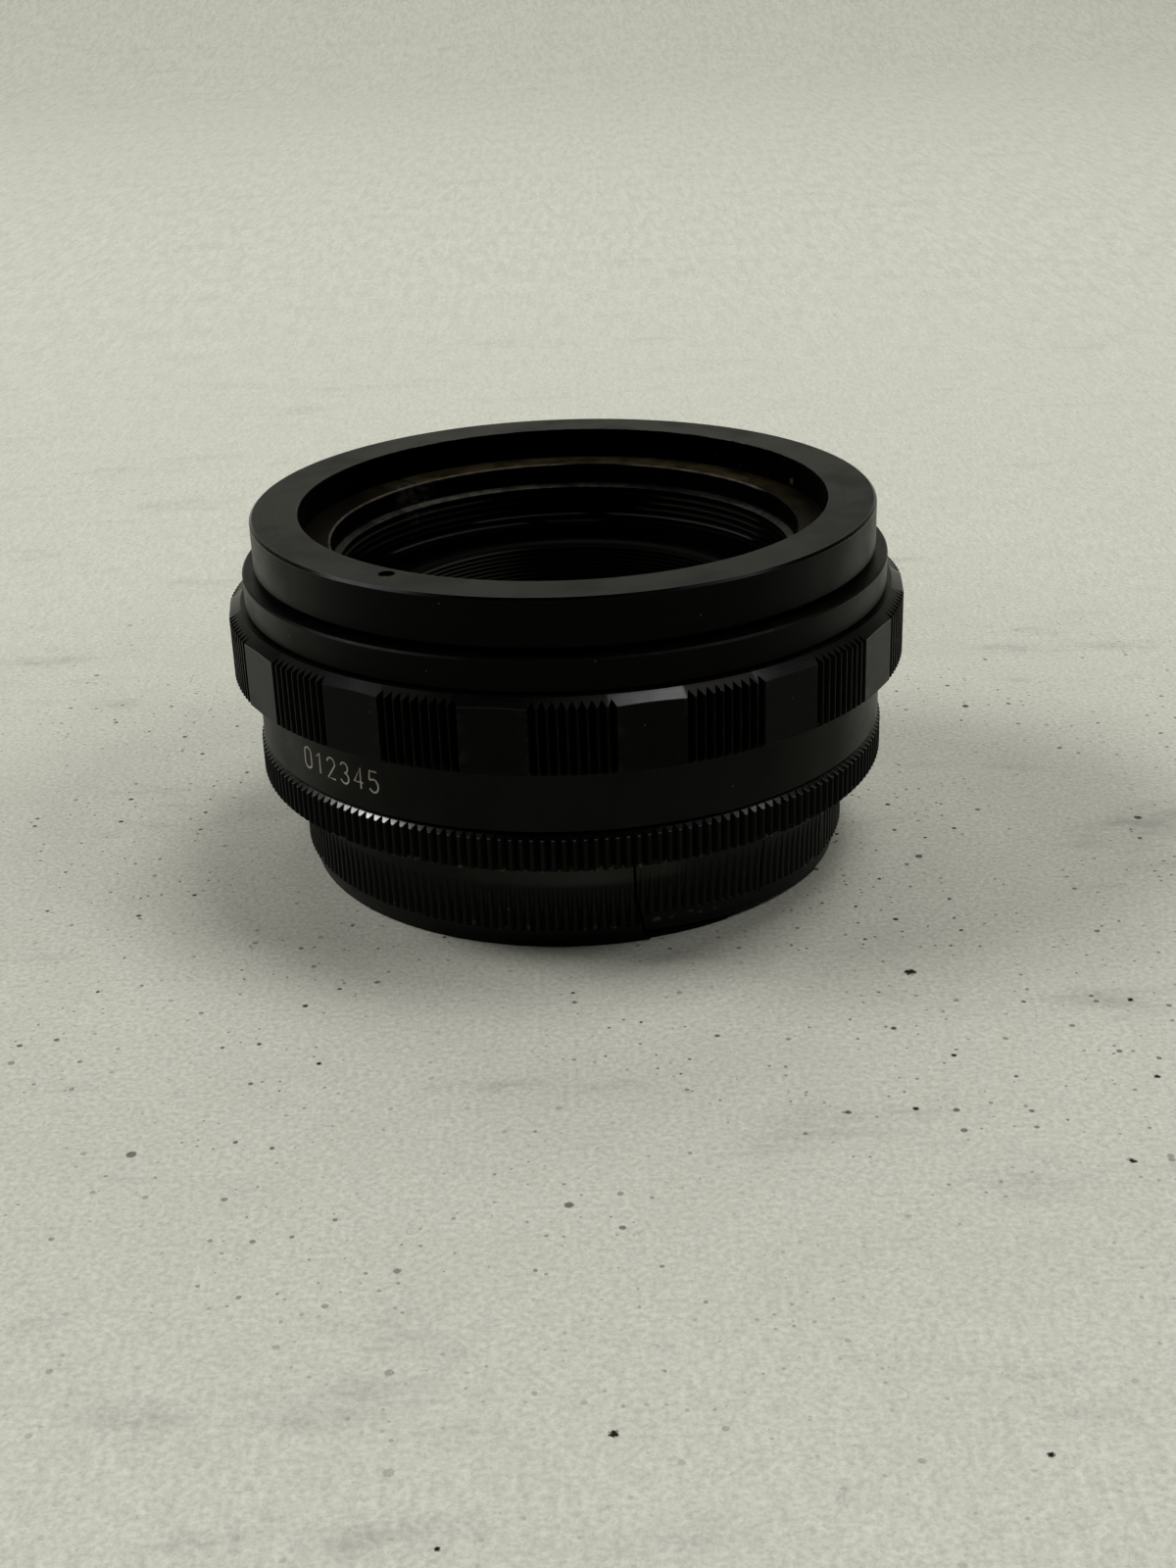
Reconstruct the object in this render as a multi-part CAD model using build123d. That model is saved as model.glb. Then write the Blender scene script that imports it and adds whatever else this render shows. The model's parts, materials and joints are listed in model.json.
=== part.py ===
"""Lens focusing mount standing on its rear cap. Millimetres, +Z along the optical axis towards the lens.

The origin is the middle of the cap's underside. Angles are in degrees round the axis, counted from the
front, -Y, and positive towards +X. Three groups move: the rear cap, the focusing ring, which turns, and
the front barrel, which slides along the axis. Everything else belongs to the fixed mount.
"""

import math
import os

from build123d import *

# Running and seating clearances
running_gap = 0.05
seat_gap = 0.02
hole_gap = 0.03
wide_gap = 0.10
slide_gap = 0.30

# Grip ring: the widest ring, flat facets between ribbed pads
grip_radius = 31.46
grip_wall = 2.51
grip_height = 6.80
grip_gap = 0.17
grip_top_bevel_width = 1.08
grip_top_bevel_height = 0.68
grip_bottom_bevel_width = 0.66
grip_bottom_bevel_height = 0.38
grip_facet_count = 15
grip_facet_angle = 12.7
grip_facet_width = 10.5
grip_grooves_per_pad = 9
grip_groove_depth = 0.70
grip_rib_land = 0.14
grip_screw_facets = (6, 8)

# Scale ring above the grip ring
scale_step = 1.57
scale_height = 2.82
scale_seam = 0.16
scale_skirt_wall = 0.70
scale_chamfer = 0.18

# Front barrel: front ring, lens seat ring and sliding helicoid barrel
front_step = 1.09
front_flange_height = 4.15
front_flange_gap = 0.70
front_skirt_wall = 0.90
front_chamfer = 0.22
front_rim_width = 4.38
lens_bore_depth = 2.87
lens_bore_chamfer = 0.05
lens_seat_width = 2.77
lens_seat_depth = 2.01
lens_seat_edge = 0.10
thread_step = 0.65
thread_pitch = 0.70
thread_depth = 0.34
thread_land = 0.16
thread_length = 3.80
thread_lead_in = 0.27
thread_lead_width = 0.60
seat_ring_cover = 2.20
seat_ring_thickness = 3.76
seat_neck_wall = 1.30
slide_wall = 3.30
slide_flange_width = 2.00
slide_flange_thickness = 1.45
slide_end_gap = 0.60
slide_screw_count = 3
slide_screw_first_angle = 15.0
slide_screw_margin = 1.00
lock_screw_margin = 0.91
lock_screw_angle = -35.0
lock_screw_depth = 4.30
lock_screw_pit = 0.30

# Focusing nut, its retaining ring and the stops
nut_wall = 2.95
nut_skirt_gap = 0.40
nut_flange_thickness = 1.40
nut_end_gap = 0.17
washer_thickness = 0.22
washer_inner_margin = 0.15
washer_width = 1.70
retainer_width = 2.60
retainer_thickness = 0.80
retainer_screw_count = 4
retainer_screw_margin = 0.55
focus_turn = 300.0
stop_pin_radius = 0.60
stop_pin_margin = 1.20
stop_pin_reach = 0.75
stop_segment_width = 2.00
stop_segment_thickness = 0.70
stop_middle_angle = 160.0

# Fixed barrel
barrel_step = 2.12
barrel_seam = 0.05
barrel_band_height = 5.66
barrel_edge = 0.08
web_thickness = 1.00
recess_margin = 0.80
recess_height = 1.83
bead_radius = 1.00
bead_height = 0.35
bead_depth = 0.90
bead_angle = 160.0

# Guide sleeve and keys inside the fixed barrel
sleeve_wall = 1.30
sleeve_height = 12.00
sleeve_flange_width = 4.20
sleeve_flange_thickness = 0.90
sleeve_lip_width = 0.80
sleeve_lip_thickness = 1.20
sleeve_screw_count = 4
sleeve_screw_margin = 1.80
sleeve_screw_first_angle = 56.0
key_count = 2
key_first_angle = 75.0
key_width = 8.0
key_thickness = 1.10
key_bottom_gap = 0.95
key_screw_heights = (1.60, 6.40)

# Light baffle tube in the middle
baffle_wall = 0.80
baffle_foot_thickness = 0.85
baffle_head_width = 0.50
baffle_head_height = 1.20
baffle_head_gap = 0.40
baffle_above_sleeve = 0.38
baffle_rib_pitch = 0.42
baffle_rib_depth = 0.26
baffle_rib_land = 0.10
baffle_mouth = 0.40

# Knurled flange ring round the mount's foot
knurl_step = 0.23
knurl_height = 3.62
knurl_wall = 1.22
knurl_count = 204
knurl_depth = 0.52
knurl_land = 0.24
knurl_top_bevel_width = 0.77
knurl_top_bevel_height = 0.59
knurl_bottom_bevel = 0.16

# Bayonet flange under the mount
flange_width = 6.30
flange_thickness = 1.60
throat_wall = 1.40
throat_depth = 5.00
throat_chamfer = 0.30
lug_count = 3
lug_width = 44.0
lug_reach = 1.40
lug_thickness = 1.20
lug_first_angle = 20.0
shim_thickness = 0.20
shim_width = 5.40
bayonet_screw_count = 5
bayonet_screw_margin = 3.30

# Rear cap
cap_height = 9.40
cap_wall = 2.08
cap_floor = 2.00
cap_rim_step = 0.68
cap_rim_height = 2.00
cap_rim_slope = 0.48
cap_rim_edge = 0.12
cap_rim_chamfer = 0.15
cap_band_height = 3.10
cap_rib_count = 195
cap_rib_depth = 0.35
cap_rib_top_depth = 0.06
cap_rib_land = 0.30
cap_lug_count = 3
cap_lug_width = 40.0
cap_lug_reach = 1.40
cap_lug_room = 0.60
cap_lug_lift = 0.38
cap_lug_thickness = 1.20
cap_label_margin = 6.90
cap_label_depth = 0.30

# Damage on the cap: a stretch of skirt that is cracked at one end and tilted up, over a chipped base lip
break_start = 11.00
break_pivot = 62.00
break_tilt = 3.20
break_shift = 0.15
base_lip_start = 14.80
base_lip_height = 0.42
base_lip_setback = 0.35
chip_start = 32.80
chip_setback = 1.30
crack_width = 0.30
crack_floor = 0.50
crack_angles = (11.45, 11.80, 14.00)
crack_bend_height = 4.30
fine_crack_width = 0.14
fine_crack_depth = 0.70
fine_crack_angles = (40.9, 39.6)

# Screws: head radius, head height and thread radius
bayonet_screw = (1.30, 0.80, 0.70)
sleeve_screw = (1.00, 0.45, 0.60)
key_screw = (0.90, 0.45, 0.50)
retainer_screw = (0.45, 0.40, 0.30)
stop_screw = (0.60, 0.30, 0.40)
slide_screw = (0.85, 0.45, 0.50)
screw_end_wall = 0.20
retainer_screw_bite = 1.20
slide_screw_bite = 1.60
grip_screw_radius = 0.55
grip_screw_length = 2.60
grip_screw_recess = 0.25
lock_screw_radius = 0.70
slot_width_share = 0.30
slot_depth = 0.28

# Radii that follow from the grip ring inwards
barrel_radius = grip_radius - barrel_step
scale_radius = grip_radius - scale_step
nut_flange_radius = grip_radius - grip_wall - running_gap
scale_bore_radius = nut_flange_radius - scale_skirt_wall
front_radius = scale_radius - front_step
front_skirt_radius = scale_bore_radius - slide_gap
front_skirt_bore = front_skirt_radius - front_skirt_wall
nut_upper_radius = front_skirt_bore - nut_skirt_gap
nut_bore_radius = nut_upper_radius - nut_wall
bearing_radius = nut_upper_radius + wide_gap
recess_radius = bearing_radius + recess_margin
retainer_radius = recess_radius - wide_gap
retainer_bore_radius = retainer_radius - retainer_width
retainer_screw_circle = retainer_bore_radius + retainer_screw_margin
stop_circle = recess_radius - stop_pin_margin
slide_radius = nut_bore_radius - running_gap
slide_bore_radius = slide_radius - slide_wall
slide_flange_radius = slide_radius + slide_flange_width
slide_screw_circle = slide_flange_radius - slide_screw_margin
sleeve_radius = slide_bore_radius - wide_gap
sleeve_bore_radius = sleeve_radius - sleeve_wall
sleeve_lip_radius = sleeve_bore_radius - sleeve_lip_width
sleeve_flange_radius = sleeve_radius + sleeve_flange_width
sleeve_screw_circle = sleeve_flange_radius - sleeve_screw_margin
web_bore_radius = sleeve_radius + wide_gap
baffle_head_radius = sleeve_bore_radius - baffle_head_gap
baffle_radius = baffle_head_radius - baffle_head_width
baffle_bore_radius = baffle_radius - baffle_wall
lens_bore_radius = front_radius - front_rim_width
lens_seat_radius = lens_bore_radius - lens_seat_width
thread_crest_radius = lens_seat_radius - thread_step
seat_ring_radius = front_radius - seat_ring_cover
seat_neck_radius = thread_crest_radius + seat_neck_wall
lock_screw_circle = seat_ring_radius - lock_screw_margin
knurl_radius = barrel_radius + knurl_step
knurl_bore_radius = knurl_radius - knurl_wall
fixed_seat_radius = knurl_bore_radius - running_gap
flange_radius = fixed_seat_radius - wide_gap
throat_radius = flange_radius - flange_width
throat_bore_radius = throat_radius - throat_wall
bayonet_screw_circle = flange_radius - bayonet_screw_margin
cap_bore_radius = throat_radius + lug_reach + cap_lug_room
cap_radius = cap_bore_radius + cap_wall
cap_rim_radius = cap_radius - cap_rim_step
cap_label_radius = cap_bore_radius - cap_label_margin

# Heights that follow from the cap upwards
register = cap_height + seat_gap
throat_bottom = register - throat_depth
lug_bottom = throat_bottom + throat_chamfer
cap_lug_bottom = lug_bottom + lug_thickness + cap_lug_lift
cap_rib_top = cap_height - cap_band_height
shim_bottom = register + flange_thickness
web_bottom = shim_bottom + shim_thickness
web_top = web_bottom + web_thickness
knurl_top = register + knurl_height
band_bottom = knurl_top + barrel_seam
band_top = band_bottom + barrel_band_height
shoulder = web_top + recess_height
retainer_top = shoulder - running_gap
retainer_bottom = retainer_top - retainer_thickness
nut_flange_bottom = band_top + washer_thickness + running_gap
nut_flange_top = nut_flange_bottom + nut_flange_thickness
grip_bottom = band_top + grip_gap
grip_top = grip_bottom + grip_height
scale_bottom = grip_top + scale_seam
scale_top = scale_bottom + scale_height
front_flange_bottom = scale_top + front_flange_gap
front_face = front_flange_bottom + front_flange_height
front_skirt_bottom = nut_flange_top + slide_gap
seat_face = front_face - lens_bore_depth
thread_start = seat_face - lens_seat_depth - thread_lead_in
thread_end = thread_start - thread_length
seat_shoulder = seat_face - seat_ring_thickness
slide_flange_bottom = seat_shoulder - slide_flange_thickness
nut_top = slide_flange_bottom - nut_end_gap
sleeve_flange_top = web_top + sleeve_flange_thickness
sleeve_top = web_bottom + sleeve_height
slide_bottom = sleeve_flange_top + slide_end_gap
baffle_top = sleeve_top + baffle_above_sleeve

# Angle of the stop pin beside the stop segment
stop_pin_angle = stop_middle_angle + (360 - focus_turn) / 2


def turned(*corners):
    """A solid of revolution from its corners, each a radius and a height."""
    outline = Polyline(*[(radius, 0, height) for radius, height in corners], close=True)
    return revolve(make_face(outline), Axis.Z)


def sector(corners, middle, width):
    """A stretch of a solid of revolution, centred on an angle."""
    outline = Polyline(*[(radius, 0, height) for radius, height in corners], close=True)
    piece = revolve(make_face(outline), Axis.Z, revolution_arc=width)
    return Rot(0, 0, middle - 90 - width / 2) * piece


def at_angle(angle, piece):
    """Turns a piece that was made at the side, +X, round to an angle."""
    return Rot(0, 0, angle - 90) * piece


def toothed_plate(radius, depth, count, land, bottom, top):
    """A plate whose edge has V grooves, with a flat land between each two."""
    step = 2 * math.pi / count
    points = []
    for i in range(count):
        for turn, reach in ((0, radius), (land * step, radius), ((1 + land) / 2 * step, radius - depth)):
            angle = i * step + turn
            points.append((reach * math.cos(angle), reach * math.sin(angle), bottom))
    return extrude(make_face(Polyline(*points, close=True)), amount=top - bottom, dir=(0, 0, 1))


def grooved_wall(radius, high, low, pitch, depth, land):
    """Corners down a bore's wall, with V grooves cut outwards at an even pitch."""
    corners = [(radius, high)]
    for i in range(int((high - low - land) / pitch)):
        start = high - i * pitch
        corners.append((radius, start - land))
        corners.append((radius + depth, start - (land + pitch) / 2))
        corners.append((radius, start - pitch))
    corners.append((radius, low))
    return corners


def slotted_screw(size, clamped, bite):
    """A cheese-head screw along Z, head underside at z = 0, thread below through the clamped plate."""
    head_radius, head_height, thread_radius = size
    length = clamped - head_height + bite
    screw = Pos(0, 0, head_height / 2) * Cylinder(head_radius, head_height)
    screw += Pos(0, 0, -length / 2) * Cylinder(thread_radius, length)
    slot = Box(2.2 * head_radius, 2 * slot_width_share * head_radius, slot_depth)
    return screw - Pos(0, 0, head_height - slot_depth / 2) * slot


def screw_hole(size, clamped, bite):
    """The counterbored hole of a slotted screw, open at the head's end."""
    head_radius, head_height, thread_radius = size
    depth = clamped - head_height + bite + seat_gap
    hole = Pos(0, 0, head_height) * Cylinder(head_radius + hole_gap, 2 * head_height)
    return hole + Pos(0, 0, -depth / 2) * Cylinder(thread_radius + hole_gap, depth)


def screws_and_holes(size, clamped, bite, place, angles):
    """Screws of one size at some angles, and the holes that they go in."""
    screw = place * slotted_screw(size, clamped, bite)
    hole = place * screw_hole(size, clamped, bite)
    return [at_angle(angle, screw) for angle in angles], [at_angle(angle, hole) for angle in angles]


def even_angles(count, first_angle):
    """Evenly spaced angles round the circle."""
    return [first_angle + i * 360 / count for i in range(count)]


def grub_screw(radius, length):
    """A headless screw along Z, from its top at z = 0 downwards, with a slot in its top."""
    screw = Pos(0, 0, -length / 2) * Cylinder(radius, length)
    return screw - Pos(0, 0, -slot_depth / 2) * Box(2.2 * radius, slot_width_share * radius * 2, slot_depth)


def cut_all(body, cutters):
    """The body with each cutter taken away."""
    for cutter in cutters:
        body -= cutter
    return body


def crack(angles, heights, left, right, depth):
    """A cutter in the skirt's outside along a crack, reaching some way to its left and to its right."""
    middle = sum(angles) / len(angles)
    reach = cap_radius + 1
    path = [(reach * math.radians(angle - middle), height) for angle, height in zip(angles, heights)]
    start = [(reach, along - left, height) for along, height in path]
    end = [(reach, along + right, height) for along, height in reversed(path)]
    face = make_face(Polyline(*start, *end, close=True))
    return at_angle(middle, extrude(face, amount=depth + 1, dir=(-1, 0, 0)))


def stretch(corners, start, end):
    """A stretch of a solid of revolution between two angles."""
    return sector(corners, (start + end) / 2, end - start)


def box_corners(inner, outer, bottom, top):
    """Corners of a rectangular half section."""
    return [(inner, bottom), (outer, bottom), (outer, top), (inner, top)]


def ribbed(skirt):
    """The skirt with its fine upright ribs, whose grooves run out towards the top."""
    ribs = toothed_plate(cap_radius, cap_rib_depth, cap_rib_count, cap_rib_land, cap_rim_height,
                         cap_rib_top)
    outside = turned(
        (cap_radius - 1.2 * cap_rib_depth, cap_rim_height),
        (cap_radius + 1, cap_rim_height),
        (cap_radius + 1, cap_rib_top),
        (cap_radius - cap_rib_top_depth, cap_rib_top),
    )
    return skirt - (outside - ribs)


def skirt_corners(inner, top):
    """Half section of the cap's skirt outside a radius, up to a height."""
    return [
        (inner, 0),
        (cap_rim_radius - cap_rim_chamfer, 0),
        (cap_rim_radius, cap_rim_chamfer),
        (cap_rim_radius + cap_rim_slope, cap_rim_height - cap_rim_edge),
        (cap_rim_radius + cap_rim_slope - cap_rim_edge, cap_rim_height),
        (cap_radius, cap_rim_height),
        (cap_radius, top),
        (cap_bore_radius, top),
        (cap_bore_radius, cap_floor),
    ]


def broken_stretch(left_of_crack):
    """The cracked stretch of skirt, tilted up about its far end and trimmed under the flange."""
    inner = cap_bore_radius - cap_floor / 4
    piece = ribbed(stretch([*skirt_corners(inner, 2 * cap_height), (inner, cap_floor)],
                           break_start, break_pivot))
    tilted = Rot(0, 0, break_pivot - 90) * Rot(-break_tilt, 0, 0) * Rot(0, 0, 90 - break_pivot) * piece
    toward = math.radians(break_start - 90)
    moved = Pos(break_shift * math.cos(toward), break_shift * math.sin(toward), 0) * tilted
    room = turned(*box_corners(0, cap_radius + cap_wall, 0, cap_height))
    return (moved & room) - left_of_crack


def rear_cap():
    """Rear cap: a ribbed cup with three inner lugs, its skirt cracked and its base lip chipped."""
    outside = cap_radius + 1
    above = cap_height + running_gap
    lip_radius = cap_rim_radius - base_lip_setback
    label_bottom = cap_floor - cap_label_depth
    whole = turned((0, 0), *skirt_corners(0, cap_height)[1:], (cap_label_radius, cap_floor),
                   (cap_label_radius, label_bottom), (0, label_bottom))
    crack_heights = (above, crack_bend_height, 0)
    left_of_crack = crack(crack_angles, crack_heights, 2 * cap_wall, 0, 2 * cap_wall)
    skirt_space = box_corners(cap_bore_radius, outside, base_lip_height, above)
    broken_out = stretch(skirt_space, break_start, break_pivot)
    cap = ribbed(whole) - (broken_out - left_of_crack)
    cap -= stretch(box_corners(lip_radius, outside, -1, base_lip_height), base_lip_start, break_pivot)
    cap -= stretch(box_corners(lip_radius - chip_setback, outside, -1, base_lip_height), chip_start,
                   break_pivot)
    cap += broken_stretch(left_of_crack)
    cap -= crack(crack_angles, crack_heights, crack_width / 2, crack_width / 2, cap_wall - crack_floor)
    cap -= crack(fine_crack_angles, (above, cap_rim_height), fine_crack_width / 2, fine_crack_width / 2,
                 fine_crack_depth)
    lug = box_corners(cap_bore_radius - cap_lug_reach, cap_bore_radius + cap_wall / 4, cap_lug_bottom,
                      cap_lug_bottom + cap_lug_thickness)
    for angle in even_angles(cap_lug_count, lug_first_angle + 180 / lug_count):
        cap += sector(lug, angle, cap_lug_width)
    return cap


def bayonet_screws_and_holes():
    """The screws that hold the bayonet flange, heads down, and their holes."""
    place = Pos(bayonet_screw_circle, 0, register + bayonet_screw[1] + seat_gap) * Rot(180, 0, 0)
    clamped = flange_thickness + shim_thickness
    angles = even_angles(bayonet_screw_count, lug_first_angle)
    return screws_and_holes(bayonet_screw, clamped, web_thickness - screw_end_wall, place, angles)


def bayonet_flange(holes):
    """Bayonet flange: a flat plate with a lugged throat below it."""
    flange = turned(
        (throat_bore_radius, lug_bottom),
        (throat_bore_radius + throat_chamfer, throat_bottom),
        (throat_radius - throat_chamfer, throat_bottom),
        (throat_radius, lug_bottom),
        (throat_radius, register),
        (flange_radius, register),
        (flange_radius, shim_bottom),
        (throat_bore_radius, shim_bottom),
    )
    lug = box_corners(throat_radius - throat_wall / 2, throat_radius + lug_reach, lug_bottom,
                      lug_bottom + lug_thickness)
    for angle in even_angles(lug_count, lug_first_angle):
        flange += sector(lug, angle, lug_width)
    return cut_all(flange, holes)


def flange_shim(holes):
    """Thin shim between the bayonet flange and the fixed barrel."""
    outer = flange_radius - wide_gap
    return cut_all(turned(*box_corners(outer - shim_width, outer, shim_bottom, web_bottom)), holes)


def knurled_flange_ring():
    """Coarse knurled ring round the mount's foot, bevelled above and below."""
    blank = turned(
        (knurl_bore_radius, register),
        (knurl_radius - knurl_bottom_bevel, register),
        (knurl_radius, register + knurl_bottom_bevel),
        (knurl_radius, knurl_top - knurl_top_bevel_height),
        (knurl_radius - knurl_top_bevel_width, knurl_top),
        (knurl_bore_radius, knurl_top),
    )
    return blank & toothed_plate(knurl_radius, knurl_depth, knurl_count, knurl_land, register, knurl_top)


def bead_parts():
    """The mounting bead, with a domed head, and its blind hole in the fixed barrel."""
    place = Pos(barrel_radius, 0, (band_bottom + band_top) / 2) * Rot(0, 90, 0)
    dome_radius = (bead_radius ** 2 + bead_height ** 2) / (2 * bead_height)
    half_turn = math.asin(bead_radius / dome_radius) / 2
    shoulder_drop = dome_radius * (1 - math.cos(half_turn))
    halfway = (dome_radius * math.sin(half_turn), 0, bead_height - shoulder_drop)
    dome = ThreePointArc((bead_radius, 0, 0), halfway, (0, 0, bead_height))
    foot = [(0, 0, -bead_depth), (bead_radius, 0, -bead_depth), (bead_radius, 0, 0)]
    sides = Polyline((0, 0, bead_height), *foot)
    bead = revolve(make_face([dome, sides]), Axis.Z)
    hole = Cylinder(bead_radius + hole_gap, 2 * (bead_depth + seat_gap))
    return at_angle(bead_angle, place * bead), at_angle(bead_angle, place * hole)


def fixed_barrel(holes):
    """Fixed barrel: a smooth outer band, the focusing nut's bearing and a web under it."""
    edge = barrel_edge
    barrel = turned(
        (web_bore_radius, web_bottom),
        (fixed_seat_radius, web_bottom),
        (fixed_seat_radius, band_bottom),
        (barrel_radius - edge, band_bottom),
        (barrel_radius, band_bottom + edge),
        (barrel_radius, band_top - edge),
        (barrel_radius - edge, band_top),
        (bearing_radius, band_top),
        (bearing_radius, shoulder),
        (recess_radius, shoulder),
        (recess_radius, web_top),
        (web_bore_radius, web_top),
    )
    return cut_all(barrel, holes)


def sleeve_screws_and_holes():
    """The screws that hold the guide sleeve on the web, heads up, and their holes."""
    place = Pos(sleeve_screw_circle, 0, sleeve_flange_top - sleeve_screw[1])
    angles = even_angles(sleeve_screw_count, sleeve_screw_first_angle)
    bite = web_thickness - screw_end_wall
    return screws_and_holes(sleeve_screw, sleeve_flange_thickness, bite, place, angles)


def key_screws_and_holes():
    """The screws that hold the guide keys, heads inside the sleeve, and their holes."""
    screws, holes = [], []
    bite = key_thickness - screw_end_wall
    angles = even_angles(key_count, key_first_angle)
    for height in key_screw_heights:
        middle = sleeve_flange_top + key_bottom_gap + height
        place = Pos(sleeve_bore_radius + key_screw[1], 0, middle) * Rot(0, -90, 0)
        more_screws, more_holes = screws_and_holes(key_screw, sleeve_wall, bite, place, angles)
        screws += more_screws
        holes += more_holes
    return screws, holes


def guide_sleeve(holes):
    """Inner sleeve of the fixed mount, which carries the guide keys."""
    sleeve = turned(
        (sleeve_lip_radius, web_bottom),
        (sleeve_radius, web_bottom),
        (sleeve_radius, web_top),
        (sleeve_flange_radius, web_top),
        (sleeve_flange_radius, sleeve_flange_top),
        (sleeve_radius, sleeve_flange_top),
        (sleeve_radius, sleeve_top),
        (sleeve_bore_radius, sleeve_top),
        (sleeve_bore_radius, web_bottom + sleeve_lip_thickness),
        (sleeve_lip_radius, web_bottom + sleeve_lip_thickness),
    )
    return cut_all(sleeve, holes)


def key_corners(extra):
    """Half section of a guide key, or with some extra of the slot that it runs in."""
    bottom = sleeve_flange_top + key_bottom_gap
    return [
        (sleeve_radius + seat_gap, bottom),
        (sleeve_radius + key_thickness + extra, bottom),
        (sleeve_radius + key_thickness + extra, sleeve_top - seat_gap + extra),
        (sleeve_radius + seat_gap, sleeve_top - seat_gap + extra),
    ]


def guide_keys(holes):
    """The keys that stop the front barrel from turning."""
    return [cut_all(sector(key_corners(0), angle, key_width), holes)
            for angle in even_angles(key_count, key_first_angle)]


def key_slots():
    """The slots in the sliding barrel that the guide keys run in, open at the bottom."""
    extra_angle = math.degrees(2 * running_gap / sleeve_radius)
    corners = key_corners(wide_gap)
    corners = [(corners[0][0] - 1, slide_bottom - 1), (corners[1][0], slide_bottom - 1), corners[2],
               (corners[3][0] - 1, corners[3][1])]
    return [sector(corners, angle, key_width + extra_angle)
            for angle in even_angles(key_count, key_first_angle)]


def light_baffle_tube():
    """Ribbed tube that traps stray light, its foot under the guide sleeve's lip."""
    foot_top = web_bottom - seat_gap
    foot_bottom = foot_top - baffle_foot_thickness
    ribs = grooved_wall(baffle_bore_radius, baffle_top - baffle_mouth, foot_bottom + baffle_mouth,
                        baffle_rib_pitch, baffle_rib_depth, baffle_rib_land)
    return turned(
        *ribs,
        (baffle_bore_radius + baffle_mouth, foot_bottom),
        (sleeve_radius, foot_bottom),
        (sleeve_radius, foot_top),
        (baffle_radius, foot_top),
        (baffle_radius, baffle_top - baffle_head_height),
        (baffle_head_radius, baffle_top - baffle_head_height),
        (baffle_head_radius, baffle_top - baffle_mouth / 2),
        (baffle_head_radius - baffle_mouth / 2, baffle_top),
        (baffle_bore_radius + baffle_mouth / 2, baffle_top),
    )


def stop_screws_and_holes():
    """The screws of the stop segment, heads up, and their holes."""
    place = Pos(stop_circle, 0, web_top + stop_segment_thickness - stop_screw[1])
    spread = (360 - focus_turn) / 4
    angles = (stop_middle_angle - spread, stop_middle_angle + spread)
    bite = web_thickness - screw_end_wall
    return screws_and_holes(stop_screw, stop_segment_thickness, bite, place, angles)


def focus_stop_segment(holes):
    """The stop on the web, which fills what the focusing turn leaves of the circle."""
    pin_angle = math.degrees(2 * (stop_pin_radius + hole_gap) / stop_circle)
    half = stop_segment_width / 2
    corners = box_corners(stop_circle - half, stop_circle + half, web_top, web_top + stop_segment_thickness)
    return cut_all(sector(corners, stop_middle_angle, 360 - focus_turn - pin_angle), holes)


def stop_pin():
    """The pin under the retaining ring, which meets the stop at both ends of the turn."""
    pin_top = retainer_top - seat_gap
    bottom = retainer_bottom - stop_pin_reach
    pin = Pos(stop_circle, 0, (pin_top + bottom) / 2) * Cylinder(stop_pin_radius, pin_top - bottom)
    return at_angle(stop_pin_angle, pin)


def retainer_screws_and_holes():
    """The screws that hold the retaining ring under the focusing nut, heads down, and their holes."""
    place = Pos(retainer_screw_circle, 0, retainer_bottom + retainer_screw[1] + seat_gap) * Rot(180, 0, 0)
    angles = even_angles(retainer_screw_count, 0)
    return screws_and_holes(retainer_screw, retainer_thickness, retainer_screw_bite, place, angles)


def retaining_ring(holes):
    """Ring under the focusing nut, which keeps it from lifting out of the fixed barrel."""
    ring = turned(*box_corners(retainer_bore_radius, retainer_radius, retainer_bottom, retainer_top))
    pin_hole = Pos(stop_circle, 0, retainer_top) * Cylinder(stop_pin_radius + hole_gap,
                                                            4 * retainer_thickness)
    return cut_all(ring, holes + [at_angle(stop_pin_angle, pin_hole)])


def focusing_nut(holes):
    """Focusing nut: the threaded ring that turns in the fixed barrel and carries the grip."""
    nut = turned(
        (nut_bore_radius, retainer_top + seat_gap),
        (bearing_radius - running_gap, retainer_top + seat_gap),
        (bearing_radius - running_gap, nut_flange_bottom),
        (nut_flange_radius, nut_flange_bottom),
        (nut_flange_radius, nut_flange_top),
        (nut_upper_radius, nut_flange_top),
        (nut_upper_radius, nut_top),
        (nut_bore_radius, nut_top),
    )
    return cut_all(nut, holes)


def thrust_washer():
    """Thin washer between the fixed barrel and the focusing nut's flange."""
    inner = bearing_radius + washer_inner_margin
    return turned(*box_corners(inner, inner + washer_width, band_top, band_top + washer_thickness))


def grip_outline():
    """Corners of the grip ring seen along its axis: flat facets between pads of V grooves."""
    sector_angle = 360 / grip_facet_count
    pad_angle = sector_angle - grip_facet_width
    pitch = pad_angle / grip_grooves_per_pad
    points = []
    for i in range(grip_facet_count):
        pad_start = grip_facet_angle + grip_facet_width / 2 + i * sector_angle
        for j in range(grip_grooves_per_pad):
            groove = pad_start + j * pitch
            points.append((groove, grip_radius))
            points.append((groove + pitch * (1 - grip_rib_land) / 2, grip_radius - grip_groove_depth))
            points.append((groove + pitch * (1 - grip_rib_land), grip_radius))
        points.append((pad_start + pad_angle, grip_radius))
    return [(reach * math.sin(math.radians(angle)), -reach * math.cos(math.radians(angle)))
            for angle, reach in points]


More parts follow.
